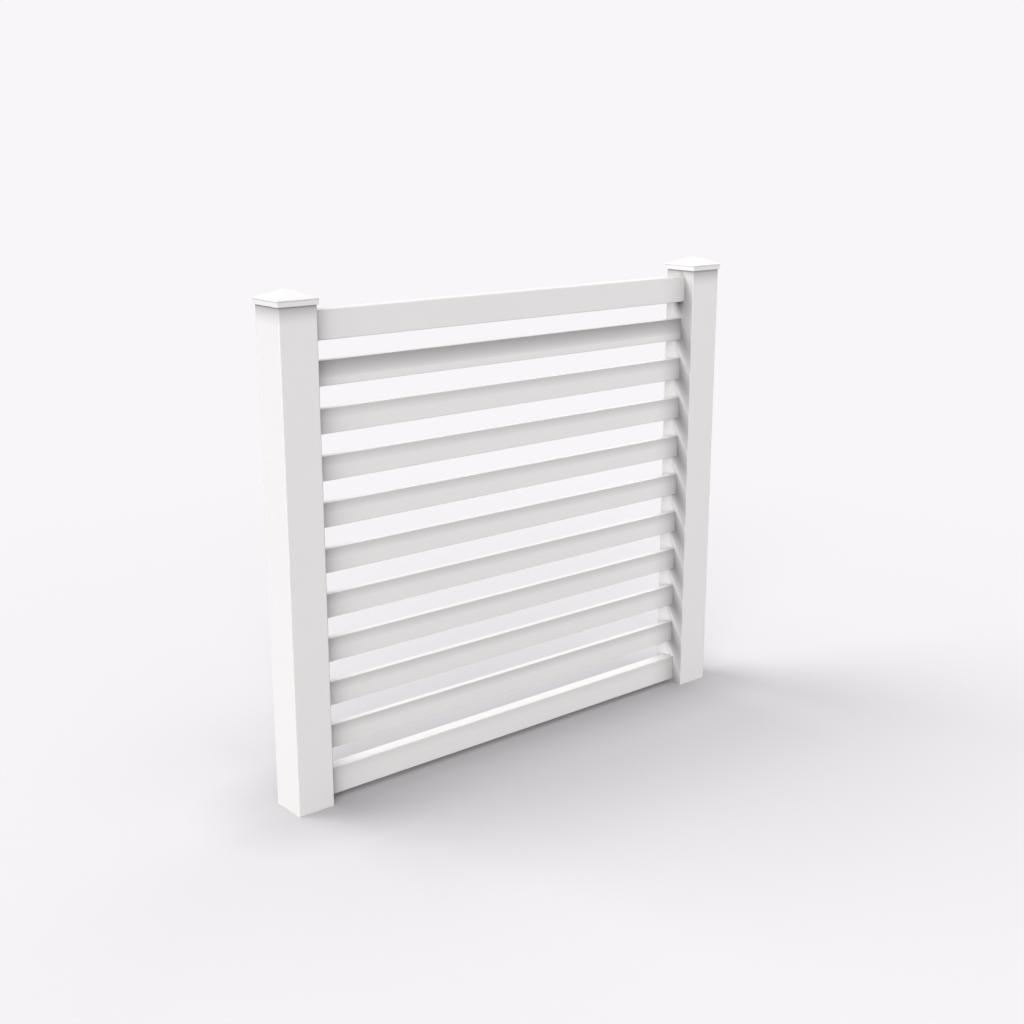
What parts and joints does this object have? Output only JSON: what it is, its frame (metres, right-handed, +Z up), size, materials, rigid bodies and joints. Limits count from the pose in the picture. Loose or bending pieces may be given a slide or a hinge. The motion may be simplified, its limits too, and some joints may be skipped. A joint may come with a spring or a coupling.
{
  "type": "horizontal picket fence",
  "caption": "Vinyl fence panel with level hollow pickets between a top and a bottom rail, routed into capped square posts.",
  "frame": {"origin": "on the ground, halfway between the two posts and midway through their depth", "axes": "+X runs along the pickets to the right post, +Y points to the rear of the panel, +Z is up"},
  "size_m": [1.8072, 0.1382, 1.5861],
  "materials": {
    "white_vinyl": "satin white vinyl",
    "galvanised_steel": "dull zinc"
  },
  "bodies": {
    "root": {"left_post": "white_vinyl", "right_post": "white_vinyl", "left_post_cap": "white_vinyl", "right_post_cap": "white_vinyl", "top_rail": "white_vinyl", "bottom_rail": "white_vinyl", "picket_1": "white_vinyl", "picket_2": "white_vinyl", "picket_3": "white_vinyl", "picket_4": "white_vinyl", "picket_5": "white_vinyl", "picket_6": "white_vinyl", "picket_7": "white_vinyl", "picket_8": "white_vinyl", "picket_9": "white_vinyl", "bottom_rail_stiffener": "galvanised_steel", "top_left_lock_ring": "galvanised_steel", "top_right_lock_ring": "galvanised_steel", "bottom_left_lock_ring": "galvanised_steel", "bottom_right_lock_ring": "galvanised_steel"}
  },
  "joints": []
}
